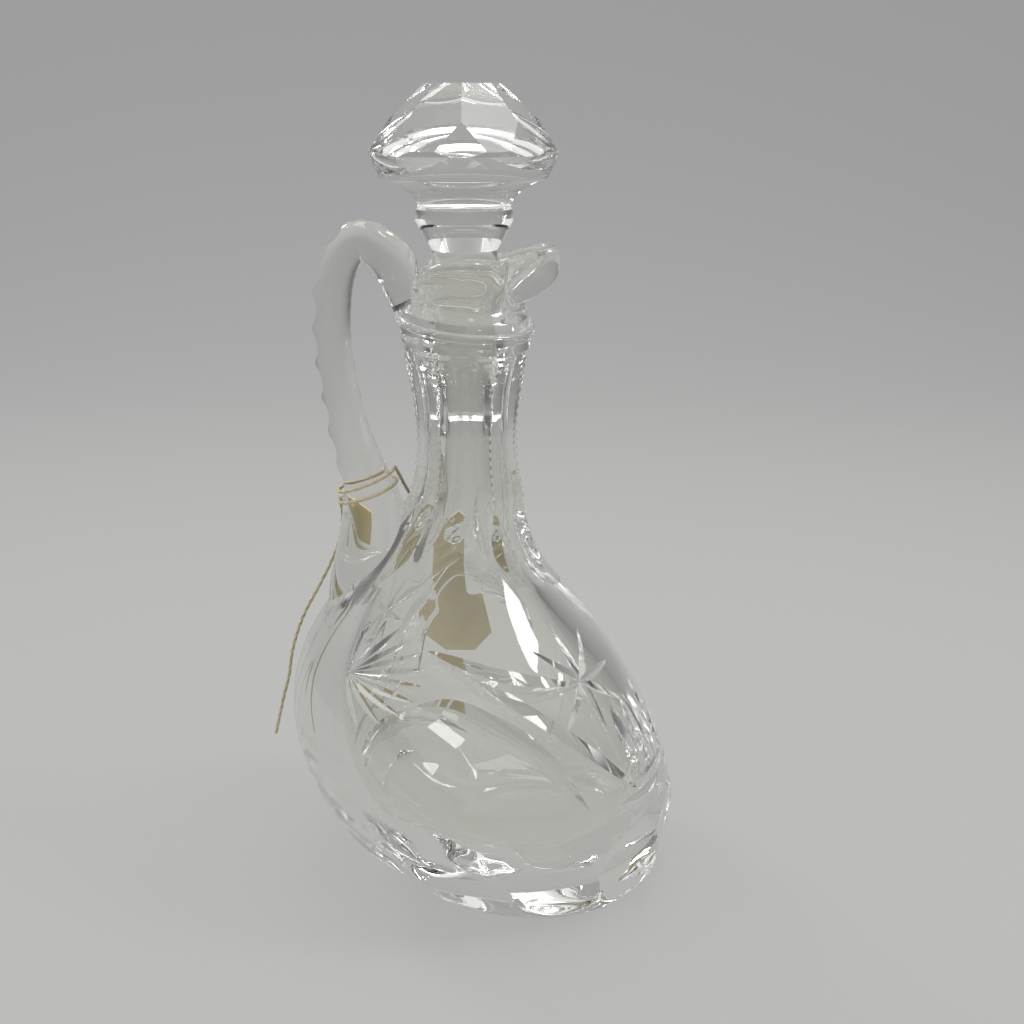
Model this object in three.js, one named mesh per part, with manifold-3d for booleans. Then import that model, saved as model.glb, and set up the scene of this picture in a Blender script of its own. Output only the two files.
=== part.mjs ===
// A cut lead-crystal cruet: a leaning hollow body with a fluted neck and a trefoil lip,
// an applied notched handle, and a ground stopper with a faceted mushroom head.
// Millimetres, +Z up. The origin is the middle of the foot, the spout points to +X
// and the handle stands on the -X side.

import * as THREE from 'three';
import { mergeVertices } from 'three/addons/utils/BufferGeometryUtils.js';
import Module from 'manifold-3d';

const wasm = await Module();
wasm.setup();

// Gap kept between glass pieces that touch, and how far a cutter stands out of what it cuts
const GAP = 0.3;
const CLEAR = 6;

// Sides of a turned piece
const AROUND = 48;

// Body and neck, outside. The neck stands upright, to the left of the foot.
const FOOT_R = 31.5;
const HEEL_OUT = 7.5;
const HEEL_UP = 5;
const BELLY_R = 50;
const BELLY_Z = 36;
const BELLY_DROP = 20;
const SHOULDER_RISE = 43;
const NECK_SWEEP = 38;
const WAIST_R = 13.4;
const WAIST_Z = 125;
const NECK_TOP_R = 17;
const NECK_TOP_Z = 158;
const NECK_FLARE = 14;

// Lean of the body: how far the neck stands from the foot's middle, and the sway of the line
const LEAN = 18.7;
const LEAN_Z = 110;
const LEAN_FOOT = 6;
const LEAN_FOOT_Z = 14;
const LEAN_SWAY = 15.5;
const LEAN_SWAY_Z = 72;

// Walls and bore. The hollow is rounder than the outside, and stands a little to the spout's side.
const WALL = 9;
const FLOOR = 12;
const FLOOR_DISH = 1;
const HOLLOW_DROP = 10;
const BORE_R = 7.8;
const BORE_END = 2;
const HOLLOW_SHIFT = 2.5;

// Trefoil lip: a spout, two side lobes and the pinches between them. Over the neck's thread
// the glass first draws in, and then curls out into the lobes.
const LIP_H = 15;
const LIP_WAIST_R = 14.4;
const LIP_WAIST_H = 3.6;
const LIP_CURL_H = 9;
const SPOUT_R = 24.2;
const SPOUT_LIFT = 2.5;
const SPOUT_FULLNESS = 1.5;
const PINCH_R = 13.4;
const PINCH_ANGLE = 42;
const PINCH_DROP = 1;
const LOBE_R = 17.6;
const LOBE_ANGLE = 92;
const LIP_BACK_R = 14.2;
const LIP_BACK_DROP = 9;
const LIFT_EASE = 1.6;
const RIM_WALL = 2.8;
const RIM_ROUND = 0.8;

// Thread of glass laid round the neck under the lip, lowest at the front right
const THREAD_OUT = 1;
const THREAD_H = 2.4;
const THREAD_DROP = 2.4;
const THREAD_TILT = 2.4;
const THREAD_ANGLE = -45;
const THREAD_REACH = 12;

// Flat flutes cut down the neck
const FLUTES = 6;
const FLUTE_LOW_Z = 88;
const FLUTE_HIGH_Z = 151;
const FLUTE_RUNOUT = 14;

// Flat facets ground round the heel
const HEEL_FACETS = 12;
const HEEL_LOW_Z = 3;
const HEEL_HIGH_Z = 30;
const HEEL_RUNOUT = 9;

// Mitre cuts of the pattern: a wheel with a V edge, sunk into the glass along a line
const PANELS = 2;
const MITRE_ANGLE = 55;
const MITRE_H = 5;
const MITRE_FULLNESS = 0.6;
const MITRE_RUNOUT = 0.15;
const MITRE_STEPS = 12;
const RIBBON_DEPTH = 2.2;
const SWEEP_DEPTH = 2.4;
const SIDE_CUT_STEPS = 8;
const PRISM_DEPTH = 2;
const PRISM_STEPS = 3;
const PRISM_ANGLES = [-31, -23.5, -16, -8.5];
const PRISM_LOW_Z = 39;
const PRISM_HIGH_Z = 59;
const RAY_DEPTH = 1.5;
const STAR_ANGLE = -38;
const STAR_Z = 67;
const STAR_R = 17;
const STAR_RAYS = 8;
const STAR_SLANT = 0.8;
const RAY_STEPS = 6;

// Stopper: tapered plug, collar and mushroom head
const PLUG_TOP_R = 8.4;
const PLUG_R = 7.2;
const PLUG_LENGTH = 43;
const PLUG_EDGE = 0.6;
const SEAT_RISE = 1;
const COLLAR_R = 12.3;
const COLLAR_H = 3.2;
const SHANK_H = 7;
const UNDERCUT_H = 7.6;
const UNDERCUT_PULL = 1;
const GIRDLE_R = 21.2;
const GIRDLE_FLARE = 0.7;
const GIRDLE_H = 5.7;
const CROWN_H = 16.8;
const FACETS = 8;
const LOWER_FACET_TILT = 66;
const UPPER_FACET_TILT = 39.6;
const UPPER_FACET_R = 13.9;
const UPPER_FACET_H = 11.8;

// Handle: thickness and the arch of its middle line, measured from the neck's axis
const HANDLE_R = 5;
const HANDLE_TOP_R = 6;
const HANDLE_TOP_RUN = 0.14;
const HANDLE_FOOT_R = 13;
const HANDLE_FOOT_RUN = 0.24;
const HANDLE_FOOT_OUT = 25;
const HANDLE_FOOT_Z = 78;
const HANDLE_FLARE_Z = 104;
const HANDLE_REACH = 34.6;
const HANDLE_REACH_Z = 154;
const HANDLE_ARCH_OUT = 27;
const HANDLE_TOP_RISE = 3.5;
const HANDLE_BEND_OUT = 5.1;
const HANDLE_BEND_IN = 7.5;
const HANDLE_BEND_DROP = 5;
const HANDLE_BEND_SKEW = 1;
const HANDLE_END_IN = 1;
const HANDLE_STEPS = 44;
const HANDLE_SIDES = 16;
const NOTCHES = 8;
const NOTCH_R = 9;
const NOTCH_DEPTH = 1.1;
const NOTCH_SIDES = 32;
const NOTCH_FROM = 0.31;
const NOTCH_TO = 0.8;

// Card tag that hangs behind the shoulder: where its hole and its lower edge lie
const TAG_W = 30;
const TAG_H = 60;
const TAG_T = 0.5;
const TAG_CLIP_W = 9;
const TAG_CLIP_H = 13;
const TAG_HOLE_R = 1.7;
const TAG_HOLE_DOWN = 5;
const TAG_HOLE_AT = [-30.3, 33, 90.3];
const TAG_END_AT = [-26.3, 55, 41.1];

// Cotton string of the tag: it is knotted behind the hole, winds round the handle and hangs down
const STRING_R = 0.5;
const KNOT_R = 2.1;
const KNOT_SIDES = 12;
const STRING_SIDES = 8;
const STRING_STEPS = 80;
const WIND_FROM = 0.296;
const WIND_TO = 0.256;
const WIND_START = 8;
const WIND_SWEEP = 568;
const WIND_STEP = 20;
const STRING_UP = [[-30.7, 28.4, 91.8], [-33, 20.6, 99], [-36.4, 9.8, 108.6]];
const STRING_DOWN = [
  [-53.6, 7.2, 106.6], [-53.6, 11, 99.5], [-55, 12.6, 92.5], [-57.6, 12, 86], [-60.4, 10.6, 80.6],
  [-65.6, 9.4, 70.9], [-68.8, 9, 61.5], [-70.4, 9, 52.7], [-71.9, 9, 47.4], [-74.9, 9, 35.1],
];

const rimZ = NECK_TOP_Z + LIP_H;
const point = (r, z) => new THREE.Vector2(r, z);
const radians = THREE.MathUtils.degToRad;

// A closed mesh becomes a solid once its shared corners are one
function toSolid(geometry) {
  const bare = geometry.clone();
  bare.deleteAttribute('normal');
  bare.deleteAttribute('uv');
  const merged = mergeVertices(bare, 1e-4);
  const corners = merged.index.array;
  const kept = [];
  for (let i = 0; i < corners.length; i += 3) {
    const [a, b, c] = [corners[i], corners[i + 1], corners[i + 2]];
    if (a !== b && b !== c && c !== a) kept.push(a, b, c);
  }
  return new wasm.Manifold(new wasm.Mesh({
    numProp: 3,
    vertProperties: new Float32Array(merged.getAttribute('position').array),
    triVerts: new Uint32Array(kept),
  }));
}

function toGeometry(solid) {
  const mesh = solid.getMesh();
  const geometry = new THREE.BufferGeometry();
  geometry.setAttribute('position', new THREE.BufferAttribute(mesh.vertProperties, 3));
  geometry.setIndex(new THREE.BufferAttribute(mesh.triVerts, 1));
  geometry.computeVertexNormals();
  return geometry;
}

// An outline of (radius, height) points turned about the Z axis
function turned(outline, around = AROUND) {
  const geometry = new THREE.LatheGeometry(outline, around);
  geometry.rotateX(Math.PI / 2);
  return geometry;
}

// Moves every corner to where the rule puts its angle, radius and height
function shaped(geometry, rule) {
  const position = geometry.getAttribute('position');
  for (let i = 0; i < position.count; i += 1) {
    const [x, y, z] = [position.getX(i), position.getY(i), position.getZ(i)];
    const spot = rule(Math.atan2(y, x), Math.hypot(x, y), z);
    position.setXYZ(i, spot.x, spot.y, spot.z);
  }
  return geometry;
}

// Points of a cubic curve between two (radius, height) points
function swept(from, fromPull, toPull, to, steps) {
  return new THREE.CubicBezierCurve(from, fromPull, toPull, to).getPoints(steps);
}

// The body's middle line: its distance from the foot's middle at a height
const leanLine = new THREE.CubicBezierCurve(
  point(0, 0),
  point(-LEAN_FOOT, LEAN_FOOT_Z),
  point(-LEAN - LEAN_SWAY, LEAN_SWAY_Z),
  point(-LEAN, LEAN_Z),
);

function leanAt(z) {
  if (z <= 0) return 0;
  if (z >= LEAN_Z) return -LEAN;
  let [low, high] = [0, 1];
  for (let i = 0; i < 30; i += 1) {
    const middle = (low + high) / 2;
    if (leanLine.getPoint(middle).y < z) low = middle;
    else high = middle;
  }
  return leanLine.getPoint(low).x;
}

// The lip's rim goes round through these angles, from the spout to the handle
const rimKeys = [
  { angle: 0, radius: SPOUT_R, lift: SPOUT_LIFT },
  { angle: radians(PINCH_ANGLE), radius: PINCH_R, lift: -PINCH_DROP },
  { angle: radians(LOBE_ANGLE), radius: LOBE_R, lift: 0 },
  { angle: Math.PI, radius: LIP_BACK_R, lift: -LIP_BACK_DROP },
];

function rimAt(angle) {
  const turn = Math.abs(angle);
  let next = 1;
  while (next < rimKeys.length - 1 && turn > rimKeys[next].angle) next += 1;
  const [a, b] = [rimKeys[next - 1], rimKeys[next]];
  const part = THREE.MathUtils.clamp((turn - a.angle) / (b.angle - a.angle), 0, 1);
  const ease = (1 - Math.cos(Math.PI * part)) / 2;
  const fullness = next === 1 ? SPOUT_FULLNESS : 1;
  return {
    radius: THREE.MathUtils.lerp(a.radius, b.radius, ease ** fullness),
    lift: THREE.MathUtils.lerp(a.lift, b.lift, ease),
  };
}

const LIP_ROWS = [0.9, 1.8, 2.7, LIP_WAIST_H, 4.2, 5.2, 6.8, LIP_CURL_H, 12];
const threadZ = NECK_TOP_Z - THREAD_DROP;
const lipPart = (z) => THREE.MathUtils.clamp((z - NECK_TOP_Z) / LIP_H, 0, 1);

// Radius left at an angle once a ring of flats is ground between two heights
function flattened(angle, radius, z, flats) {
  const up = (z - flats.low) / flats.runout;
  const down = (flats.high - z) / flats.runout;
  const part = THREE.MathUtils.clamp(Math.min(up, down), 0, 1);
  const pitch = (2 * Math.PI) / flats.count;
  const fromMiddle = THREE.MathUtils.euclideanModulo(angle, pitch) - pitch / 2;
  const flat = 1 - (1 - Math.cos(pitch / 2)) * Math.sin((part * Math.PI) / 2);
  return Math.min(radius, (radius * flat) / Math.cos(fromMiddle));
}

const neckFlutes = {
  count: FLUTES, low: FLUTE_LOW_Z, high: FLUTE_HIGH_Z, runout: FLUTE_RUNOUT,
};
const heelFacets = {
  count: HEEL_FACETS, low: HEEL_LOW_Z, high: HEEL_HIGH_Z, runout: HEEL_RUNOUT,
};

// Outline of the body and neck, from the foot up to the lip
const bodyOutline = [
  ...swept(
    point(FOOT_R, 0),
    point(FOOT_R + HEEL_OUT, HEEL_UP),
    point(BELLY_R, BELLY_Z - BELLY_DROP),
    point(BELLY_R, BELLY_Z),
    8,
  ),
  ...swept(
    point(BELLY_R, BELLY_Z),
    point(BELLY_R, BELLY_Z + SHOULDER_RISE),
    point(WAIST_R, WAIST_Z - NECK_SWEEP),
    point(WAIST_R, WAIST_Z),
    18,
  ).slice(1),
  ...swept(
    point(WAIST_R, WAIST_Z),
    point(WAIST_R, WAIST_Z + NECK_FLARE),
    point(NECK_TOP_R, NECK_TOP_Z - NECK_FLARE),
    point(NECK_TOP_R, NECK_TOP_Z),
    6,
  ).slice(1),
];

// Radius of the lip's outside at an angle and a height
function lipRadius(angle, z) {
  const rise = z - NECK_TOP_Z;
  if (rise <= 0) return NECK_TOP_R;
  if (rise < LIP_WAIST_H) {
    return THREE.MathUtils.lerp(NECK_TOP_R, LIP_WAIST_R, THREE.MathUtils.smoothstep(rise, 0, LIP_WAIST_H));
  }
  const curl = THREE.MathUtils.clamp((rise - LIP_WAIST_H) / (LIP_CURL_H - LIP_WAIST_H), 0, 1);
  return THREE.MathUtils.lerp(LIP_WAIST_R, rimAt(angle).radius, Math.sqrt(curl * (2 - curl)));
}

// How far the thread round the neck, and the glass near it, sits below its mean height
function threadSink(angle, z) {
  const near = THREE.MathUtils.clamp(1 - Math.abs(z - threadZ) / THREAD_REACH, 0, 1);
  const sink = THREAD_TILT * Math.cos(angle - radians(THREAD_ANGLE));
  return sink * near * near * (3 - 2 * near);
}

// Outside of the bottle, grown all over by some amount
function bottleOuter(grow) {
  const lip = LIP_ROWS.map((rise) => point(NECK_TOP_R, NECK_TOP_Z + rise));
  const thread = [
    point(NECK_TOP_R, threadZ - THREAD_H / 2),
    point(NECK_TOP_R + THREAD_OUT, threadZ),
    point(NECK_TOP_R, threadZ + THREAD_H / 2),
  ];
  const below = bodyOutline.filter((p) => p.y < thread[0].y - 1);
  const side = [...below, ...thread, ...lip].map((p) => point(p.x + grow, p.y));
  side[0].y = -grow;
  const outline = [
    point(0, -grow),
    ...side,
    point(NECK_TOP_R - RIM_ROUND + grow, rimZ + grow),
    point(0, rimZ + grow),
  ];
  return toSolid(shaped(turned(outline), (angle, radius, z) => {
    const part = lipPart(z);
    const ground = flattened(angle, flattened(angle, radius, z, neckFlutes), z, heelFacets);
    const r = (ground * lipRadius(angle, z)) / NECK_TOP_R;
    const rise = rimAt(angle).lift * part ** LIFT_EASE - threadSink(angle, z);
    return new THREE.Vector3(leanAt(z) + r * Math.cos(angle), r * Math.sin(angle), z + rise);
  }));
}

// Radius of the body at a height, before it is cut
function bodyRadius(z) {
  const next = Math.max(1, bodyOutline.findIndex((p) => p.y > z));
  const [low, high] = [bodyOutline[next - 1], bodyOutline[next]];
  return THREE.MathUtils.mapLinear(z, low.y, high.y, low.x, high.x);
}

// A point on the body at an angle in degrees and a height, and the way out of the glass there
function bodyPoint(angle, z) {
  const r = bodyRadius(z);
  return new THREE.Vector3(leanAt(z) + r * Math.cos(radians(angle)), r * Math.sin(radians(angle)), z);
}

function bodyNormal(angle, z) {
  const up = bodyPoint(angle, z + 0.5).sub(bodyPoint(angle, z - 0.5));
  const round = bodyPoint(angle + 1, z).sub(bodyPoint(angle - 1, z));
  return round.cross(up).normalize();
}

// The bar of glass that a V-edged wheel takes out along a line on the body. The line is given
// by (angle, height) points; the cut is deepest in its middle and runs out at both ends.
function mitre(keys, depth, turn, steps = MITRE_STEPS) {
  const line = new THREE.CatmullRomCurve3(
    keys.map(([angle, z]) => new THREE.Vector3(angle + turn, z, 0)),
  );
  const half = MITRE_H * Math.tan(radians(MITRE_ANGLE));
  const sections = [];
  for (let i = 0; i <= steps; i += 1) {
    const part = i / steps;
    const { x: angle, y: z } = line.getPoint(part);
    const ahead = line.getPoint(Math.min(1, part + 0.01));
    const behind = line.getPoint(Math.max(0, part - 0.01));
    const along = bodyPoint(ahead.x, ahead.y).sub(bodyPoint(behind.x, behind.y)).normalize();
    const out = bodyNormal(angle, z);
    const side = out.clone().cross(along).normalize();
    const sink = depth * Math.sin(Math.PI * part) ** MITRE_FULLNESS - MITRE_RUNOUT;
    const edge = bodyPoint(angle, z).addScaledVector(out, -sink);
    const top = edge.clone().addScaledVector(out, MITRE_H);
    sections.push([
      edge,
      top.clone().addScaledVector(side, half),
      top.clone().addScaledVector(side, -half),
    ]);
  }
  return toSolid(skinned(sections));
}

// A closed skin over sections that each have the same number of corners
function skinned(sections) {
  const sides = sections[0].length;
  const vertices = sections.flat().flatMap((p) => [p.x, p.y, p.z]);
  const faces = [];
  const at = (i, k) => i * sides + (k % sides);
  const last = sections.length - 1;
  for (let i = 0; i < last; i += 1) {
    for (let k = 0; k < sides; k += 1) {
      faces.push(at(i, k), at(i, k + 1), at(i + 1, k));
      faces.push(at(i, k + 1), at(i + 1, k + 1), at(i + 1, k));
    }
  }
  for (let k = 1; k < sides - 1; k += 1) {
    faces.push(at(0, 0), at(0, k + 1), at(0, k));
    faces.push(at(last, 0), at(last, k), at(last, k + 1));
  }
  const geometry = new THREE.BufferGeometry();
  geometry.setAttribute('position', new THREE.Float32BufferAttribute(vertices, 3));
  geometry.setIndex(faces);
  return geometry;
}

// Lines of one panel of the pattern: two ribbons that leave one point, the long sweep below,
// and beside them a broad cut between two narrow ones, which notch the body's side under a row
// of upright prisms
const ribbonHigh = [[-98, 78.5], [-86, 75.5], [-70, 71.5], [-42, 66.5]];
const ribbonLow = [[-88, 77], [-74, 69], [-60, 59.5], [-48, 49.5], [-34, 36]];
const longSweep = [[-102, 66.5], [-90, 66.5], [-78, 62], [-66, 54], [-56, 37]];
const sideCuts = [
  { line: [[-45, 36], [-18, 35], [12, 34]], depth: 1.2 },
  { line: [[-75, 15.5], [-58, 21], [-42, 25.5], [-20, 27], [15, 27]], depth: 3 },
  { line: [[-45, 17], [-18, 17.5], [12, 17]], depth: 1.8 },
];

function patternCuts() {
  const cuts = [];
  for (let panel = 0; panel < PANELS; panel += 1) {
    const turn = (panel * 360) / PANELS;
    cuts.push(mitre(ribbonHigh, RIBBON_DEPTH, turn));
    cuts.push(mitre(ribbonLow, RIBBON_DEPTH, turn));
    cuts.push(mitre(longSweep, SWEEP_DEPTH, turn));
    for (const { line, depth } of sideCuts) cuts.push(mitre(line, depth, turn, SIDE_CUT_STEPS));
    for (const angle of PRISM_ANGLES) {
      const upright = [[angle, PRISM_LOW_Z], [angle, PRISM_HIGH_Z]];
      cuts.push(mitre(upright, PRISM_DEPTH, turn, PRISM_STEPS));
    }
    for (let ray = 0; ray < STAR_RAYS / 2; ray += 1) {
      const slope = (ray * Math.PI * 2) / STAR_RAYS;
      const rise = STAR_R * Math.sin(slope) * STAR_SLANT;
      const swing = (STAR_R * Math.cos(slope) * 180) / (Math.PI * bodyRadius(STAR_Z));
      cuts.push(mitre(
        [[STAR_ANGLE - swing, STAR_Z - rise], [STAR_ANGLE, STAR_Z], [STAR_ANGLE + swing, STAR_Z + rise]],
        RAY_DEPTH,
        turn,
        RAY_STEPS,
      ));
    }
  }
  return cuts;
}

// The plug fills the neck's top, and its taper ends just above the lip's mean height
const seatZ = rimZ + SEAT_RISE;
const plugBottomZ = seatZ - PLUG_LENGTH;
const plugAt = (z) => THREE.MathUtils.mapLinear(z, plugBottomZ, seatZ, PLUG_R, PLUG_TOP_R);

// The hollow: a rounded floor, the belly, the neck's bore and the tapered seat, open at the lip
function bottleInner() {
  const bellyR = BELLY_R - WALL;
  const boreTopZ = plugBottomZ - BORE_END;
  const outline = [
    point(0, FLOOR),
    ...swept(
      point(FOOT_R - WALL, FLOOR),
      point(FOOT_R - WALL + HEEL_OUT, FLOOR + FLOOR_DISH),
      point(bellyR, BELLY_Z - HOLLOW_DROP),
      point(bellyR, BELLY_Z),
      6,
    ),
    ...swept(
      point(bellyR, BELLY_Z),
      point(bellyR, BELLY_Z + SHOULDER_RISE - WALL),
      point(BORE_R, boreTopZ - NECK_SWEEP - WALL),
      point(BORE_R, boreTopZ),
      14,
    ).slice(1),
    point(plugAt(plugBottomZ) + GAP, plugBottomZ),
    point(plugAt(NECK_TOP_Z) + GAP, NECK_TOP_Z),
  ];
  for (const part of [0.25, 0.5, 0.75, 1]) {
    outline.push(point(plugAt(NECK_TOP_Z) + GAP, NECK_TOP_Z + part * LIP_H));
  }
  const top = outline.at(-1);
  outline.push(point(top.x, rimZ + CLEAR), point(0, rimZ + CLEAR));
  return toSolid(shaped(turned(outline), (angle, radius, z) => {
    const part = lipPart(z);
    const rim = rimAt(angle);
    const ease = part * part * (3 - 2 * part);
    const mouth = rim.radius - RIM_WALL;
    const r = radius + (radius / top.x) * (mouth - top.x) * ease;
    const shift = HOLLOW_SHIFT * (1 - THREE.MathUtils.smoothstep(z, BELLY_Z, LEAN_Z));
    return new THREE.Vector3(leanAt(z) + shift + r * Math.cos(angle), r * Math.sin(angle),
      z + rim.lift * part ** LIFT_EASE);
  }));
}

function makeBottle() {
  let solid = bottleOuter(0).subtract(bottleInner());
  for (const cut of patternCuts()) solid = solid.subtract(cut);
  return solid;
}

// The stopper is one solid piece of glass
const collarZ = seatZ + SHANK_H;
const girdleZ = collarZ + COLLAR_H + UNDERCUT_H;
const crownTopZ = girdleZ + GIRDLE_H + CROWN_H;

function makeStopper() {
  const bandTopZ = girdleZ + GIRDLE_H;
  const bandR = GIRDLE_R + GIRDLE_FLARE;
  const outline = [
    point(0, plugBottomZ),
    point(PLUG_R - PLUG_EDGE, plugBottomZ),
    point(PLUG_R, plugBottomZ + PLUG_EDGE),
    point(PLUG_TOP_R, seatZ),
    point(COLLAR_R, collarZ),
    point(COLLAR_R, collarZ + COLLAR_H),
    ...swept(
      point(COLLAR_R - PLUG_EDGE, collarZ + COLLAR_H + PLUG_EDGE),
      point(COLLAR_R, collarZ + COLLAR_H + UNDERCUT_H / 2),
      point(GIRDLE_R - UNDERCUT_H / 2, girdleZ - UNDERCUT_PULL),
      point(GIRDLE_R, girdleZ),
      5,
    ),
    point(bandR, bandTopZ),
    point(bandR, crownTopZ),
    point(0, crownTopZ),
  ];
  let solid = toSolid(turned(outline));
  // A slab of glass ground away above a slanting face that passes through a radius and height
  const slab = (tilt, turn, r, z) => {
    const box = new THREE.BoxGeometry(4 * GIRDLE_R, 4 * GIRDLE_R, GIRDLE_R);
    box.translate(0, 0, GIRDLE_R / 2);
    box.rotateY(radians(tilt));
    box.translate(r, 0, z);
    box.rotateZ(turn);
    return toSolid(box);
  };
  for (let i = 0; i < FACETS; i += 1) {
    const turn = (i / FACETS) * 2 * Math.PI;
    const between = turn + Math.PI / FACETS;
    const upperZ = bandTopZ + UPPER_FACET_H;
    solid = solid.subtract(slab(LOWER_FACET_TILT, turn, bandR, bandTopZ));
    solid = solid.subtract(slab(UPPER_FACET_TILT, between, UPPER_FACET_R, upperZ));
  }
  return solid.translate([-LEAN, 0, 0]);
}

// Middle line of the handle, from the foot on the shoulder, up and over to the lip
const archZ = rimZ + HANDLE_TOP_RISE;
const handleLine = new THREE.CatmullRomCurve3([
  [HANDLE_FOOT_OUT, HANDLE_FOOT_Z],
  [HANDLE_FOOT_OUT, HANDLE_FLARE_Z],
  [(2 * HANDLE_REACH + HANDLE_FOOT_OUT) / 3, (HANDLE_FLARE_Z + HANDLE_REACH_Z) / 2],
  [HANDLE_REACH, HANDLE_REACH_Z],
  [HANDLE_ARCH_OUT + HANDLE_BEND_OUT, archZ - HANDLE_BEND_DROP - HANDLE_BEND_SKEW],
  [HANDLE_ARCH_OUT, archZ],
  [HANDLE_ARCH_OUT - HANDLE_BEND_IN, archZ - HANDLE_BEND_DROP + HANDLE_BEND_SKEW],
  [LIP_BACK_R - HANDLE_END_IN, rimZ - LIP_BACK_DROP - RIM_WALL],
].map(([out, z]) => new THREE.Vector3(-LEAN - out, 0, z)));

// Half thickness of the handle along its line
function handleThickness(part) {
  const foot = Math.exp(-((part / HANDLE_FOOT_RUN) ** 2));
  const top = Math.exp(-(((1 - part) / HANDLE_TOP_RUN) ** 2));
  return HANDLE_R + (HANDLE_FOOT_R - HANDLE_R) * foot + (HANDLE_TOP_R - HANDLE_R) * top;
}

// A place beside the handle's line: the turn is 0 on the side of the neck and 90 at the back
function besideHandle(part, turn, distance) {
  const along = handleLine.getTangentAt(part);
  const inward = new THREE.Vector3(along.z, 0, -along.x);
  const spot = handleLine.getPointAt(part).addScaledVector(inward, distance * Math.cos(turn));
  spot.y += distance * Math.sin(turn);
  return spot;
}

function makeHandle() {
  const sections = [];
  for (let i = 0; i <= HANDLE_STEPS; i += 1) {
    const part = i / HANDLE_STEPS;
    const ring = [];
    for (let k = 0; k < HANDLE_SIDES; k += 1) {
      ring.push(besideHandle(part, (k / HANDLE_SIDES) * 2 * Math.PI, handleThickness(part)));
    }
    sections.push(ring);
  }
  let solid = toSolid(skinned(sections));
  for (let i = 0; i < NOTCHES; i += 1) {
    const part = THREE.MathUtils.lerp(NOTCH_FROM, NOTCH_TO, i / (NOTCHES - 1));
    const away = handleThickness(part) + NOTCH_R - NOTCH_DEPTH;
    const middle = besideHandle(part, Math.PI, away);
    const wheel = new THREE.CylinderGeometry(NOTCH_R, NOTCH_R, 4 * HANDLE_R, NOTCH_SIDES);
    wheel.translate(middle.x, 0, middle.z);
    solid = solid.subtract(toSolid(wheel));
  }
  for (const shift of [-GAP, 0, GAP]) {
    solid = solid.subtract(bottleOuter(GAP).translate([0, 0, shift]));
  }
  return solid;
}

// The tag's own directions: down along it, across it, and from its face towards the glass
const tagHole = new THREE.Vector3(...TAG_HOLE_AT);
const tagDown = new THREE.Vector3(...TAG_END_AT).sub(tagHole).normalize();
const tagAcross = new THREE.Vector3(1, 0, 0).addScaledVector(tagDown, -tagDown.x).normalize();
const tagFace = tagDown.clone().cross(tagAcross);

function makeTag() {
  const [half, top, end] = [TAG_W / 2, TAG_HOLE_DOWN, TAG_HOLE_DOWN - TAG_H];
  const card = new THREE.Shape([
    point(half - TAG_CLIP_W, top),
    point(TAG_CLIP_W - half, top),
    point(-half, top - TAG_CLIP_H),
    point(-half, end + TAG_CLIP_H),
    point(TAG_CLIP_W - half, end),
    point(half - TAG_CLIP_W, end),
    point(half, end + TAG_CLIP_H),
    point(half, top - TAG_CLIP_H),
  ]);
  const hole = new THREE.Path();
  hole.absarc(0, 0, TAG_HOLE_R, 0, 2 * Math.PI, true);
  card.holes.push(hole);
  const geometry = new THREE.ExtrudeGeometry(card, {
    depth: TAG_T, bevelEnabled: false, curveSegments: 12,
  });
  geometry.translate(0, 0, -TAG_T / 2);
  const turn = new THREE.Matrix4().makeBasis(tagAcross, tagDown.clone().negate(), tagFace);
  geometry.applyMatrix4(turn.setPosition(tagHole));
  return toSolid(geometry);
}

// The string's route: from behind the tag through its hole, round the handle, and down
function stringRoute() {
  const knot = tagHole.clone().addScaledVector(tagFace, -KNOT_R - TAG_T / 2 - GAP);
  const inside = tagHole.clone().addScaledVector(tagFace, 3 * STRING_R);
  const route = [knot, tagHole, inside, ...STRING_UP.map((p) => new THREE.Vector3(...p))];
  const points = Math.round(WIND_SWEEP / WIND_STEP);
  for (let i = 0; i <= points; i += 1) {
    const part = THREE.MathUtils.lerp(WIND_FROM, WIND_TO, i / points);
    const turn = radians(WIND_START - (WIND_SWEEP * i) / points);
    route.push(besideHandle(part, turn, handleThickness(part) + GAP + STRING_R));
  }
  return [...route, ...STRING_DOWN.map((p) => new THREE.Vector3(...p))];
}

// Least gap from one stretch of the string to another that is half a turn or more away along it
function stringGap() {
  const curve = new THREE.CatmullRomCurve3(stringRoute());
  const count = Math.round(curve.getLength() / STRING_R);
  const points = curve.getSpacedPoints(count);
  const apart = Math.ceil((Math.PI * HANDLE_R) / STRING_R);
  let least = Infinity;
  points.forEach((point, i) => {
    for (const other of points.slice(i + apart)) least = Math.min(least, point.distanceTo(other));
  });
  return least - 2 * STRING_R;
}

function makeString() {
  const section = new THREE.Shape();
  section.absarc(0, 0, STRING_R, 0, 2 * Math.PI);
  const geometry = new THREE.ExtrudeGeometry(section, {
    steps: STRING_STEPS,
    curveSegments: STRING_SIDES / 2,
    extrudePath: new THREE.CatmullRomCurve3(stringRoute()),
  });
  const knot = new THREE.SphereGeometry(KNOT_R, KNOT_SIDES, KNOT_SIDES / 2);
  knot.translate(...stringRoute()[0].toArray());
  return toSolid(geometry).add(toSolid(knot));
}

const crystal = { color: 0xeef1f0, roughness: 0.02, metalness: 0 };
const manila = { color: 0xc9bb8e, roughness: 0.85, metalness: 0 };
const cotton = { color: 0xcfc4a4, roughness: 0.95, metalness: 0 };

const cruet = new THREE.Group();
function add(name, solid, look) {
  const mesh = new THREE.Mesh(toGeometry(solid), new THREE.MeshStandardMaterial(look));
  mesh.name = name;
  cruet.add(mesh);
}

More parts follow.
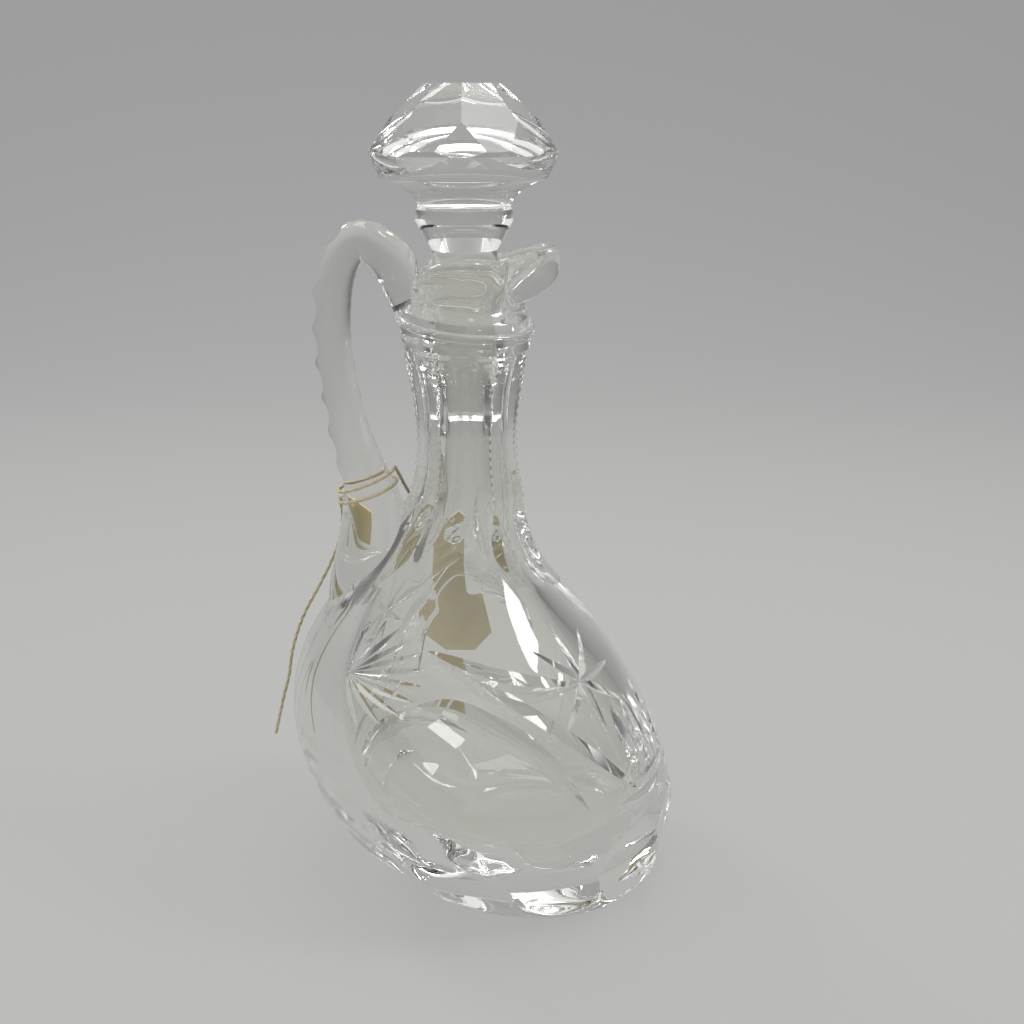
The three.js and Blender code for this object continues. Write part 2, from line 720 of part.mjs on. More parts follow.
add('bottle', makeBottle(), crystal);
add('handle', makeHandle(), crystal);
add('stopper', makeStopper(), crystal);
add('tag', makeTag(), manila);
add('tag_string', makeString(), cotton);
console.log(`tag_string: least gap to itself ${stringGap().toFixed(2)} mm`);

export default cruet;
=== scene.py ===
"""A cut lead-crystal cruet with its ground stopper, and the blank card tag that hangs from its handle.

The pieces are worked out in millimetres, from the same sizes as the solids of the part, and are
turned to metres as they are placed. +Z is up, the spout points to +X, the camera stands at -Y.
"""

import math

import bpy
import numpy as np
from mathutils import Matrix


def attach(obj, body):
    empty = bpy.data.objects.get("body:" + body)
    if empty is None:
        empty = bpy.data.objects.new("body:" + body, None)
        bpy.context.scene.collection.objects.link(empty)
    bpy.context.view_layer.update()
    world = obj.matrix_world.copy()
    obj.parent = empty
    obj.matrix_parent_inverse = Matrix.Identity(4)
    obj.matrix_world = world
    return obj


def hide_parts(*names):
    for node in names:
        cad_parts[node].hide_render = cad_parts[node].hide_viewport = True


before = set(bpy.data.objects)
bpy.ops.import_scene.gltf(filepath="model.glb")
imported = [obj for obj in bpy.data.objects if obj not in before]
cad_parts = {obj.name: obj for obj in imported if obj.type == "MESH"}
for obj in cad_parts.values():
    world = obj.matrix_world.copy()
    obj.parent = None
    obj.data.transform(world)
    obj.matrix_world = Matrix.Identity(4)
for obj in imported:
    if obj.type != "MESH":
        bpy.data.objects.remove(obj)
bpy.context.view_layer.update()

MM = 0.001

# The photograph's camera: its place, its tilt below the horizon and its lens
CAMERA_AT = (-6.7, -354.7, 210.3)
CAMERA_TILT = 16.62
CAMERA_LENS = 48.5
SENSOR = 36

# Body and neck, outside
FOOT_R = 31.5
HEEL_OUT = 7.5
HEEL_UP = 5
BELLY_R = 50
BELLY_Z = 36
BELLY_DROP = 20
SHOULDER_RISE = 43
NECK_SWEEP = 38
WAIST_R = 13.4
WAIST_Z = 125
NECK_TOP_R = 17
NECK_TOP_Z = 158
NECK_FLARE = 14

# Lean of the body
LEAN = 18.7
LEAN_Z = 110
LEAN_FOOT = 6
LEAN_FOOT_Z = 14
LEAN_SWAY = 15.5
LEAN_SWAY_Z = 72

# Walls and bore
WALL = 9
FLOOR = 12
FLOOR_DISH = 1
HOLLOW_DROP = 10
BORE_R = 7.8
BORE_END = 2
HOLLOW_SHIFT = 2.5
SEAT_GAP = 0.3

# Trefoil lip
LIP_H = 15
LIP_WAIST_R = 14.4
LIP_WAIST_H = 3.6
LIP_CURL_H = 9
SPOUT_R = 24.2
SPOUT_LIFT = 2.5
SPOUT_FULLNESS = 2.4
PINCH_R = 13.4
PINCH_ANGLE = 42
PINCH_DROP = 1
LOBE_R = 17.6
LOBE_ANGLE = 92
LIP_BACK_R = 14.2
LIP_BACK_DROP = 9
RIM_WALL = 2.8
LIFT_EASE = 1.6
SPOUT_UNDERCUT = 1.2

# Thread of glass laid round the neck
THREAD_OUT = 1
THREAD_H = 2.4
THREAD_DROP = 2.4
THREAD_TILT = 2.4
THREAD_ANGLE = -45
THREAD_REACH = 12

# Flat flutes of the neck and facets of the heel: number, lowest and highest point, run-out
FLUTES = (6, 88, 151, 14)
HEEL_FACETS = (12, 3, 30, 9)

# Pattern: cuts of a V-edged wheel
PANELS = 2
MITRE_ANGLE = 55
MITRE_H = 5
MITRE_FULLNESS = 0.6
MITRE_RUNOUT = 0.15
RIBBON_DEPTH = 2.2
SWEEP_DEPTH = 2.4
PRISM_DEPTH = 2
PRISM_ANGLES = (-31, -23.5, -16, -8.5)
PRISM_LOW_Z = 39
PRISM_HIGH_Z = 59
RAY_DEPTH = 1.1
STAR_ANGLE = -38
STAR_Z = 67
STAR_R = 17
STAR_RAYS = 8
STAR_SLANT = 0.8
BROAD_DEPTH = 3
NARROW_HIGH_DEPTH = 1.2
NARROW_LOW_DEPTH = 1.8

# Feathered fan beside each panel: fine cuts that spread from one point
FAN_RAYS = 11
FAN_DEPTH = 0.9
FAN_AT = (-131, 71)
FAN_SWING = 33
FAN_RISE = 13
FAN_SLANT = 2.5
FAN_FROM = -75
FAN_TO = 85

# Fine notches ground across the neck's arrises
ARRIS_LOW_Z = 107
ARRIS_HIGH_Z = 149.9
ARRIS_PITCH = 2.2
ARRIS_DEPTH = 0.6

# Stopper
PLUG_TOP_R = 8.4
PLUG_R = 7.2
PLUG_LENGTH = 43
PLUG_EDGE = 0.6
SEAT_RISE = 1
COLLAR_R = 12.3
COLLAR_H = 3.2
SHANK_H = 7
UNDERCUT_H = 7.6
UNDERCUT_PULL = 1
GIRDLE_R = 21.2
GIRDLE_FLARE = 2.6
GIRDLE_H = 5.7
CROWN_H = 16.8
FACETS = 8
LOWER_FACET_TILT = 58
UPPER_FACET_TILT = 46.6
UPPER_FACET_R = 13.8
UPPER_FACET_H = 11.8

# Handle
HANDLE_R = 5
HANDLE_TOP_R = 6
HANDLE_TOP_RUN = 0.14
HANDLE_FOOT_R = 13
HANDLE_FOOT_RUN = 0.24
HANDLE_FOOT_OUT = 25
HANDLE_FOOT_Z = 78
HANDLE_FLARE_Z = 104
HANDLE_REACH = 34.6
HANDLE_REACH_Z = 154
HANDLE_ARCH_OUT = 27
HANDLE_TOP_RISE = 3.5
HANDLE_BEND_OUT = 5.1
HANDLE_BEND_IN = 7.5
HANDLE_BEND_DROP = 5
HANDLE_BEND_SKEW = 1
HANDLE_END_IN = 1
HANDLE_BITE = 1
NOTCHES = 8
NOTCH_R = 7
NOTCH_DEPTH = 1.6
NOTCH_FROM = 0.31
NOTCH_TO = 0.8

# Tag and string
TAG_W = 30
TAG_H = 60
TAG_T = 0.5
TAG_CLIP_W = 9
TAG_CLIP_H = 13
TAG_HOLE_R = 1.7
TAG_HOLE_DOWN = 5
TAG_HOLE_AT = (-30.3, 33, 90.3)
TAG_END_AT = (-26.3, 55, 41.1)
STRING_R = 0.5
STRING_PLIES = 3
STRING_LAY = 2.6
STRING_WAVE = 0.14
KNOT_R = 2.1
KNOT_FLATNESS = 0.5
KNOT_STRAND = 0.62
KNOT_WAVE = 0.15
KNOT_TWIST = 60
WIND_FROM = 0.296
WIND_TO = 0.256
WIND_START = 8
WIND_SWEEP = 568
WIND_STEP = 20
WIND_OVER = 0.8
WIND_OVER_POINTS = 4
STRING_UP = [(-30.7, 28.4, 91.8), (-33, 20.6, 99), (-35.9, 10.2, 108.7)]
STRING_DOWN = [
    (-53.6, 7.2, 106.6), (-53.6, 11, 99.5), (-55, 12.6, 92.5), (-57.6, 12, 86), (-60.4, 10.6, 80.6),
    (-65.6, 9.4, 70.9), (-68.8, 9, 61.5), (-70.4, 9, 52.7), (-71.9, 9, 47.4), (-74.9, 9, 35.1),
]

# Patterns of the materials: how many of their features lie along 100 mm, and how high they stand
PATTERN_RUN = 100
RIPPLES = 7
RIPPLE_H = 0.05
FIBRES = 90
FIBRE_H = 0.05
CLOUDS = 6
FUZZ = 160

# Floor, backdrop and room, in metres. The fades are (start, end)
# The paper's near and far tones are a painted pool of light round the object and its painted falloff;
# the far tone is also the room's light at the horizon
NEAR_LIT_TONE = "#b7b7b5"
FAR_FALLOFF_TONE = "#9d9d9e"
# The side tone is painted shade on the paper to both sides; in the room it is the dimmer light to the
# sides
SIDE_SHADE_TONE = "#666666"
OVERHEAD_TONE = "#f4f4f4"
FALLOFF_FADE = (0.1, 1.2)
SIDE_SHADE_FADE = (0.5, 1.6)
ROOM_SIDE_FADE = (0.2, 0.55)
ROOM_RISE_FADE = (0.15, 0.6)
PAPER_SHOWN = 0.8
FLOOR_HALF = 2.5
BACK_AT = 1.1
BACK_ROUND = 0.5

# Lamps: name, place, size and watts. All aim at the middle of the object
LAMPS_AIM = (-0.01, 0, 0.1)
LAMPS = [
    ("softbox_over", (0.05, 0.1, 1.3), (0.9, 0.7), 5),
    ("softbox_right", (0.9, -0.15, 0.95), (0.3, 0.4), 5),
    ("softbox_left", (-0.75, 0.6, 0.85), (0.3, 0.4), 5),
]
LIGHT_BOUNCES = 20

# Fineness of the meshes: faces round a skin, and rows along it
AROUND = 192
HANDLE_MESH = (64, 220)
STRING_MESH = (15, 900)
KNOT_MESH = (10, 160)
TAG_MESH = (22, 58)
SWEEP_MESH = (8, 80)
CUTTER_SIDES = 96
HOLE_SIDES = 32
FOOT_ROWS = 9
HEEL_ROWS = 30
SHOULDER_ROWS = 70
NECK_ROWS = 30
THREAD_ROWS = 11
LIP_ROWS = 26
RIM_ROWS = 9
MOUTH_ROWS = 22
SEAT_ROWS = 12
BORE_ROWS = 56
BELLY_ROWS = 24
FLOOR_ROWS = 9
UNDERCUT_ROWS = 20
MITRE_ROWS = 40
PRISM_ROWS = 16
RAY_ROWS = 24
FAN_ROWS = 20

# Points of the lines that skins follow, and how many the knot's loop leaves out
LINE_POINTS = 2400
STRING_POINTS = 6000
KNOT_POINTS = 400
KNOT_OPEN_POINTS = 8
MITRE_POINTS = 600
LEAN_POINTS = 400

# Clearances between rows of the skin, how far the hollow's cutter stands over the rim, and how
# far along a cut its direction is measured
THREAD_MARGIN = 0.3
ARRIS_MARGIN = 0.1
CUTTER_OVER = 20
LOOK_AHEAD = 0.01

# Heights that follow from the sizes
RIM_Z = NECK_TOP_Z + LIP_H
SEAT_Z = RIM_Z + SEAT_RISE
PLUG_BOTTOM_Z = SEAT_Z - PLUG_LENGTH
COLLAR_Z = SEAT_Z + SHANK_H
GIRDLE_Z = COLLAR_Z + COLLAR_H + UNDERCUT_H
BAND_TOP_Z = GIRDLE_Z + GIRDLE_H
CROWN_TOP_Z = BAND_TOP_Z + CROWN_H
THREAD_Z = NECK_TOP_Z - THREAD_DROP
ARCH_Z = RIM_Z + HANDLE_TOP_RISE


# Tools of the bench

def clear_selection():
    bpy.ops.object.select_all(action="DESELECT")


def pick(piece):
    """Only this piece is selected and active."""
    clear_selection()
    piece.select_set(True)
    bpy.context.view_layer.objects.active = piece


def smooth(part):
    """0 to 1 with level ends."""
    part = np.clip(part, 0, 1)
    return part * part * (3 - 2 * part)


def bezier(a, b, c, d, steps):
    """Points of a cubic curve from a to d, the first one left out."""
    t = np.linspace(0, 1, steps + 1)[1:, None]
    a, b, c, d = (np.array(p, float) for p in (a, b, c, d))
    return (1 - t) ** 3 * a + 3 * t * (1 - t) ** 2 * b + 3 * t * t * (1 - t) * c + t ** 3 * d


def rolled(name, around, rows, place):
    """A closed skin, rolled up from a grid. Place gives the point at each turn, in radians, and row."""
    clear_selection()
    bpy.ops.mesh.primitive_grid_add(x_subdivisions=around, y_subdivisions=rows - 1, size=1)
    piece = bpy.context.object
    piece.name = piece.data.name = name
    flat = np.empty(len(piece.data.vertices) * 3)
    piece.data.vertices.foreach_get("co", flat)
    flat = flat.reshape(-1, 3)
    turn = (flat[:, 0] + 0.5) * 2 * math.pi
    row = np.rint((flat[:, 1] + 0.5) * (rows - 1)).astype(int)
    spots = place(turn, row) * MM
    piece.data.vertices.foreach_set("co", spots.ravel())
    bpy.ops.object.mode_set(mode="EDIT")
    bpy.ops.mesh.select_all(action="SELECT")
    bpy.ops.mesh.remove_doubles(threshold=0.002 * MM)
    bpy.ops.mesh.normals_make_consistent(inside=False)
    bpy.ops.object.mode_set(mode="OBJECT")
    return piece


def combine(piece, other, operation):
    """The other solid is cut out of the piece, or joined to it, and is then gone."""
    pick(piece)
    modifier = piece.modifiers.new("cut", "BOOLEAN")
    modifier.object = other
    modifier.operation = operation
    modifier.solver = "MANIFOLD"
    bpy.ops.object.modifier_apply(modifier=modifier.name)
    bpy.data.objects.remove(other)


def finished(piece, material, body, nodes, sharp=28):
    """Shading, finish, body and the solids that the piece stands for. Edges that turn by more
    than `sharp` degrees stay hard."""
    pick(piece)
    bpy.ops.object.shade_smooth_by_angle(angle=math.radians(sharp))
    piece.data.materials.clear()
    piece.data.materials.append(material)
    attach(piece, body)
    if nodes:
        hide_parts(*nodes)


def smooth_line(points, samples=LINE_POINTS):
    """A smooth line through the points, evenly spaced along its length, with its directions."""
    p = np.array(points, float)
    p = np.vstack([2 * p[0] - p[1], p, 2 * p[-1] - p[-2]])
    line = []
    each = samples // (len(p) - 3)
    for p0, p1, p2, p3 in zip(p, p[1:], p[2:], p[3:]):
        spans = ((p0, p1), (p1, p2), (p2, p3))
        d0, d1, d2 = (max(np.linalg.norm(b - a), 1e-6) ** 0.5 for a, b in spans)
        t1 = ((p1 - p0) / d0 - (p2 - p0) / (d0 + d1) + (p2 - p1) / d1) * d1
        t2 = ((p2 - p1) / d1 - (p3 - p1) / (d1 + d2) + (p3 - p2) / d2) * d1
        t = np.linspace(0, 1, each, endpoint=False)[:, None]
        line.append(p1 + t1 * t + (-3 * p1 + 3 * p2 - 2 * t1 - t2) * t ** 2
                    + (2 * p1 - 2 * p2 + t1 + t2) * t ** 3)
    line = np.vstack([*line, p[-2:-1]])
    run = np.concatenate([[0], np.cumsum(np.linalg.norm(np.diff(line, axis=0), axis=1))])
    even = np.linspace(0, run[-1], samples)
    line = np.column_stack([np.interp(even, run, line[:, k]) for k in range(3)])
    along = np.gradient(line, axis=0)
    along /= np.linalg.norm(along, axis=1)[:, None]
    return line, along


def at_part(values, part):
    """The value along a line at a part of its length."""
    spot = np.clip(np.asarray(part, float), 0, 1) * (len(values) - 1)
    low = np.minimum(spot.astype(int), len(values) - 2)
    mix = (spot - low)[..., None]
    return values[low] * (1 - mix) + values[low + 1] * mix


# Materials

def linear(hex_code):
    """An sRGB hex colour as Blender's linear one."""
    parts = [int(hex_code[i:i + 2], 16) / 255 for i in (1, 3, 5)]
    return [c / 12.92 if c <= 0.04045 else ((c + 0.055) / 1.055) ** 2.4 for c in parts] + [1]


def add_node(tree, kind, inputs=None, **settings):
    """A node with its settings. An input is a value, or the output socket that feeds it."""
    node = tree.nodes.new(kind)
    for name, value in settings.items():
        setattr(node, name, value)
    for key, value in (inputs or {}).items():
        if isinstance(value, bpy.types.NodeSocket):
            tree.links.new(value, node.inputs[key])
        else:
            node.inputs[key].default_value = value
    return node


def new_material(name):
    material = bpy.data.materials.new(name)
    material.use_nodes = True
    material.node_tree.nodes.clear()
    return material, material.node_tree


def lead_crystal(name, ripple):
    """Lead crystal, 24 % lead oxide: heavy, bright and colourless, with a refractive index of 1.545.
    Blowing leaves a slow ripple, given in millimetres, that grinding and polishing take off."""
    material, tree = new_material(name)
    place = add_node(tree, "ShaderNodeTexCoord")
    wave = add_node(tree, "ShaderNodeTexNoise", {
        "Vector": place.outputs["Object"], "Scale": RIPPLES / (PATTERN_RUN * MM), "Detail": 1,
        "Roughness": 0.4,
    })
    bump = add_node(tree, "ShaderNodeBump", {
        "Height": wave.outputs["Fac"], "Strength": 1, "Distance": ripple * MM,
    })
    glass = add_node(tree, "ShaderNodeBsdfPrincipled", {
        "Base Color": linear("#f9f9f6"), "Roughness": 0.0, "IOR": 1.545,
        "Transmission Weight": 1.0, "Normal": bump.outputs["Normal"],
    })
    add_node(tree, "ShaderNodeOutputMaterial", {"Surface": glass.outputs["BSDF"]})
    return material


def manila_card(name):
    """Manila card, rolled smooth and uncoated, so it has no gloss. Flecks of fibre and broad clouds
    in its pulp give it two tones of buff."""
    material, tree = new_material(name)
    place = add_node(tree, "ShaderNodeTexCoord")
    fibre = add_node(tree, "ShaderNodeTexNoise", {
        "Vector": place.outputs["Object"], "Scale": FIBRES / (PATTERN_RUN * MM), "Detail": 4,
    })
    cloud = add_node(tree, "ShaderNodeTexNoise", {
        "Vector": place.outputs["Object"], "Scale": CLOUDS / (PATTERN_RUN * MM), "Detail": 3,
    })
    both = add_node(tree, "ShaderNodeMath", {
        0: fibre.outputs["Fac"], 1: cloud.outputs["Fac"],
    }, operation="ADD")
    tint = add_node(tree, "ShaderNodeMapRange", {
        "Value": both.outputs[0], "From Min": 0.7, "From Max": 1.3,
    })
    paint = add_node(tree, "ShaderNodeMix", {
        "Factor": tint.outputs["Result"], "A": linear("#f4dea0"), "B": linear("#fbeec4"),
    }, data_type="RGBA")
    bump = add_node(tree, "ShaderNodeBump", {
        "Height": fibre.outputs["Fac"], "Strength": 0.4, "Distance": FIBRE_H * MM,
    })
    card = add_node(tree, "ShaderNodeBsdfPrincipled", {
        "Base Color": paint.outputs["Result"], "Roughness": 0.82, "Normal": bump.outputs["Normal"],
    })
    add_node(tree, "ShaderNodeOutputMaterial", {"Surface": card.outputs["BSDF"]})
    return material


def cotton_string(name):
    """Undyed cotton, spun and laid in plies: fuzzy and matt, in two tones of straw. The fuzz is drawn
    coarser than it is, so that it shows."""
    material, tree = new_material(name)
    place = add_node(tree, "ShaderNodeTexCoord")
    fuzz = add_node(tree, "ShaderNodeTexNoise", {
        "Vector": place.outputs["Object"], "Scale": FUZZ / (PATTERN_RUN * MM), "Detail": 3,
    })
    paint = add_node(tree, "ShaderNodeMix", {
        "Factor": fuzz.outputs["Fac"], "A": linear("#b7a982"), "B": linear("#e2d8ba"),
    }, data_type="RGBA")
    cotton = add_node(tree, "ShaderNodeBsdfPrincipled", {
        "Base Color": paint.outputs["Result"], "Roughness": 0.9, "Sheen Weight": 0.3,
    })
    add_node(tree, "ShaderNodeOutputMaterial", {"Surface": cotton.outputs["BSDF"]})
    return material


BOTTLE_GLASS = lead_crystal("lead_crystal_blown_and_cut", RIPPLE_H)
STOPPER_GLASS = lead_crystal("lead_crystal_ground_and_polished", 0)
MANILA = manila_card("manila_card_blank")
COTTON = cotton_string("cotton_string_undyed")


# Camera

bpy.ops.object.camera_add(
    location=[c * MM for c in CAMERA_AT],
    rotation=(math.radians(90 - CAMERA_TILT), 0, 0),
)
camera = bpy.context.object
camera.data.lens = CAMERA_LENS
camera.data.sensor_width = SENSOR
camera.data.sensor_fit = "HORIZONTAL"
camera.data.clip_start = 0.01
bpy.context.scene.camera = camera


# Handle's line, which the string also winds round

def handle_points():
    """From the foot on the shoulder up over the arch to the back of the lip."""
    ends = [
        (HANDLE_FOOT_OUT, HANDLE_FOOT_Z),
        (HANDLE_FOOT_OUT, HANDLE_FLARE_Z),
        ((2 * HANDLE_REACH + HANDLE_FOOT_OUT) / 3, (HANDLE_FLARE_Z + HANDLE_REACH_Z) / 2),
        (HANDLE_REACH, HANDLE_REACH_Z),
        (HANDLE_ARCH_OUT + HANDLE_BEND_OUT, ARCH_Z - HANDLE_BEND_DROP - HANDLE_BEND_SKEW),
        (HANDLE_ARCH_OUT, ARCH_Z),
        (HANDLE_ARCH_OUT - HANDLE_BEND_IN, ARCH_Z - HANDLE_BEND_DROP + HANDLE_BEND_SKEW),
        (LIP_BACK_R - HANDLE_END_IN, RIM_Z - LIP_BACK_DROP - RIM_WALL),
    ]
    return [(-LEAN - out, 0, z) for out, z in ends]


handle_line, handle_along = smooth_line(handle_points())


def handle_thickness(part):
    """Half thickness of the handle along its line."""
    foot = np.exp(-((part / HANDLE_FOOT_RUN) ** 2))
    top = np.exp(-(((1 - part) / HANDLE_TOP_RUN) ** 2))
    return HANDLE_R + (HANDLE_FOOT_R - HANDLE_R) * foot + (HANDLE_TOP_R - HANDLE_R) * top


def beside_handle(part, turn, distance):
    """A place beside the handle's line: turn 0 faces the neck, a quarter turn faces +Y, and half
    a turn is the handle's back."""
    along = at_part(handle_along, part)
    inward = np.stack([along[..., 2], np.zeros_like(along[..., 0]), -along[..., 0]], -1)
    spot = at_part(handle_line, part) + inward * np.asarray(distance * np.cos(turn))[..., None]
    spot[..., 1] += distance * np.sin(turn)
    return spot


# String of the tag

tag_hole = np.array(TAG_HOLE_AT, float)
tag_down = np.array(TAG_END_AT, float) - tag_hole
tag_down /= np.linalg.norm(tag_down)
tag_across = np.array([1, 0, 0]) - tag_down * tag_down[0]
tag_across /= np.linalg.norm(tag_across)
tag_face = np.cross(tag_down, tag_across)
knot_at = tag_hole - tag_face * (KNOT_R + TAG_T / 2 + SEAT_GAP)


def string_route():
    """From the knot through the tag's hole, up over its own first turn, round the handle, and down."""
    route = [knot_at, tag_hole, tag_hole + tag_face * 3 * STRING_R, *STRING_UP]
    points = round(WIND_SWEEP / WIND_STEP)
    for i in range(points + 1):
        part = WIND_FROM + (WIND_TO - WIND_FROM) * i / points
        turn = math.radians(WIND_START - WIND_SWEEP * i / points)
        off = SEAT_GAP + STRING_R + WIND_OVER * max(0, 1 - i / WIND_OVER_POINTS)
        route.append(beside_handle(np.array(part), turn, handle_thickness(part) + off))
    return [tuple(p) for p in [*route, *STRING_DOWN]]


def tube(name, line, along, radius, around, rows):
    """A round skin along a line, closed at both ends. The radius is given by part and turn."""
    side = np.array([1.0, 0, 0])
    sides = []
    for direction in along:
        side = side - direction * np.dot(side, direction)
        side /= np.linalg.norm(side)
        sides.append(side.copy())
    sides = np.array(sides)

    def place(turn, row):
        part = np.clip((row - 1) / (rows - 3), 0, 1)
        u = at_part(sides, part)
        v = np.cross(at_part(along, part), u)
        r = radius(part, turn) * ((row > 0) & (row < rows - 1))
        off = (u * np.cos(turn)[:, None] + v * np.sin(turn)[:, None]) * r[:, None]
        return at_part(line, part) + off

    return rolled(name, around, rows, place)


string_line, string_along = smooth_line(string_route(), STRING_POINTS)
string_length = float(np.linalg.norm(np.diff(string_line, axis=0), axis=1).sum())


def string_radius(part, turn):
    """The plies swell the string, and turn round it as they run."""
    twist = 2 * math.pi * part * string_length / STRING_LAY / STRING_PLIES
    return STRING_R * (1 - STRING_WAVE + STRING_WAVE * np.cos(STRING_PLIES * (turn - twist)))


string = tube("tag_string_twisted", string_line, string_along, string_radius, *STRING_MESH)


def knot_radius(part, turn):
    """Pulled tight, the string is thinner in the knot."""
    wave = KNOT_WAVE * np.cos(STRING_PLIES * turn + KNOT_TWIST * part)
    return KNOT_STRAND * STRING_R * (1 + wave)


def make_knot():
    """An overhand knot pulled tight: the string's own loops, close round each other."""
    t = np.linspace(0, 2 * math.pi, KNOT_POINTS)
    reach = KNOT_R - STRING_R
    loops = np.column_stack([
        (np.sin(t) + 2 * np.sin(2 * t)) / 3,
        (np.cos(t) - 2 * np.cos(2 * t)) / 3,
        -np.sin(3 * t) * KNOT_FLATNESS,
    ]) * reach
    basis = np.array([tag_across, tag_down, tag_face])
    line = knot_at + loops[:-KNOT_OPEN_POINTS] @ basis
    along = np.gradient(line, axis=0)
    along /= np.linalg.norm(along, axis=1)[:, None]
    return tube("tag_string_knot", line, along, knot_radius, *KNOT_MESH)


knot = make_knot()


# Shapes of the body

lean_curve = bezier(
    (0, 0), (-LEAN_FOOT, LEAN_FOOT_Z), (-LEAN - LEAN_SWAY, LEAN_SWAY_Z), (-LEAN, LEAN_Z), LEAN_POINTS,
)
lean_curve = np.vstack([[0, 0], lean_curve])


def lean_at(z):
    """How far the body's middle leans along X at a height."""
    return np.interp(z, lean_curve[:, 1], lean_curve[:, 0])


rim_keys = [
    (0, SPOUT_R, SPOUT_LIFT),
    (PINCH_ANGLE, PINCH_R, -PINCH_DROP),
    (LOBE_ANGLE, LOBE_R, 0),
    (180, LIP_BACK_R, -LIP_BACK_DROP),
]


def rim_at(turn):
    """Radius and lift of the lip's rim at a turn in radians."""
    angle = np.abs(np.degrees(np.angle(np.exp(1j * turn))))
    radius, lift = np.zeros_like(angle), np.zeros_like(angle)
    for (a0, r0, l0), (a1, r1, l1) in zip(rim_keys, rim_keys[1:]):
        here = (angle >= a0) & (angle <= a1)
        ease = (1 - np.cos(math.pi * np.clip((angle - a0) / (a1 - a0), 0, 1))) / 2
        fullness = SPOUT_FULLNESS if a0 == 0 else 1
        radius = np.where(here, r0 + (r1 - r0) * ease ** fullness, radius)
        lift = np.where(here, l0 + (l1 - l0) * ease ** fullness, lift)
    return radius, lift


def flattened(turn, radius, z, flats):
    """Radius left once a ring of flats is ground between two heights."""
    count, low, high, runout = flats
    part = np.clip(np.minimum(z - low, high - z) / runout, 0, 1)
    pitch = 2 * math.pi / count
    from_middle = np.mod(turn, pitch) - pitch / 2
    flat = 1 - (1 - math.cos(pitch / 2)) * np.sin(part * math.pi / 2)
    return np.minimum(radius, radius * flat / np.cos(from_middle))


def lip_radius(turn, z):
    """Radius of the lip's outside. The spout curls out higher up than the lobes do."""
    spoutness = smooth(1 - np.abs(np.angle(np.exp(1j * turn))) / math.radians(PINCH_ANGLE))
    rise = z - NECK_TOP_Z - SPOUT_UNDERCUT * spoutness * smooth((z - NECK_TOP_Z) / LIP_WAIST_H)
    waist = NECK_TOP_R + (LIP_WAIST_R - NECK_TOP_R) * smooth(rise / LIP_WAIST_H)
    curl = np.clip((rise - LIP_WAIST_H) / (LIP_CURL_H - LIP_WAIST_H), 0, 1)
    return np.where(rise < LIP_WAIST_H, waist,
                    LIP_WAIST_R + (rim_at(turn)[0] - LIP_WAIST_R) * np.sqrt(curl * (2 - curl)))


def thread_sink(turn, z):
    """The thread was laid on aslant, so the rows near it sink on one side and rise on the other."""
    near = np.clip(1 - np.abs(z - THREAD_Z) / THREAD_REACH, 0, 1)
    return THREAD_TILT * np.cos(turn - math.radians(THREAD_ANGLE)) * smooth(near)


def lip_part(z):
    return np.clip((z - NECK_TOP_Z) / LIP_H, 0, 1)


def notched(ground, radius, z):
    """The neck's flutes meet in arrises, which lose a row of small V notches."""
    tooth = 1 - np.abs(2 * np.mod((z - ARRIS_LOW_Z) / ARRIS_PITCH, 1) - 1)
    there = (z > ARRIS_LOW_Z) & (z < ARRIS_HIGH_Z)
    return np.where(there, np.minimum(ground, radius - ARRIS_DEPTH * tooth), ground)


def outside(turn, radius, z):
    """A point of the bottle's outside. The radius is that of the round outline at the height."""
    ground = notched(flattened(turn, radius, z, FLUTES), radius, z)
    ground = flattened(turn, ground, z, HEEL_FACETS)
    r = ground * lip_radius(turn, z) / NECK_TOP_R
    rise = rim_at(turn)[1] * lip_part(z) ** LIFT_EASE - thread_sink(turn, z)
    return np.stack([lean_at(z) + r * np.cos(turn), r * np.sin(turn), z + rise], -1)


def plug_radius(z):
    return np.interp(z, (PLUG_BOTTOM_Z, SEAT_Z), (PLUG_R, PLUG_TOP_R))


SEAT_TOP_R = float(plug_radius(NECK_TOP_Z)) + SEAT_GAP


def inside(turn, radius, z):
    """A point of the hollow's wall."""
    rim_r, lift = rim_at(turn)
    part = lip_part(z)
    r = radius + radius / SEAT_TOP_R * (rim_r - RIM_WALL - SEAT_TOP_R) * smooth(part)
    within_lip = radius / SEAT_TOP_R * (lip_radius(turn, z) - RIM_WALL)
    r = np.where(z > NECK_TOP_Z, np.minimum(r, within_lip), r)
    shift = HOLLOW_SHIFT * (1 - smooth((z - BELLY_Z) / (LEAN_Z - BELLY_Z)))
    rise = lift * part ** LIFT_EASE
    return np.stack([lean_at(z) + shift + r * np.cos(turn), r * np.sin(turn), z + rise], -1)


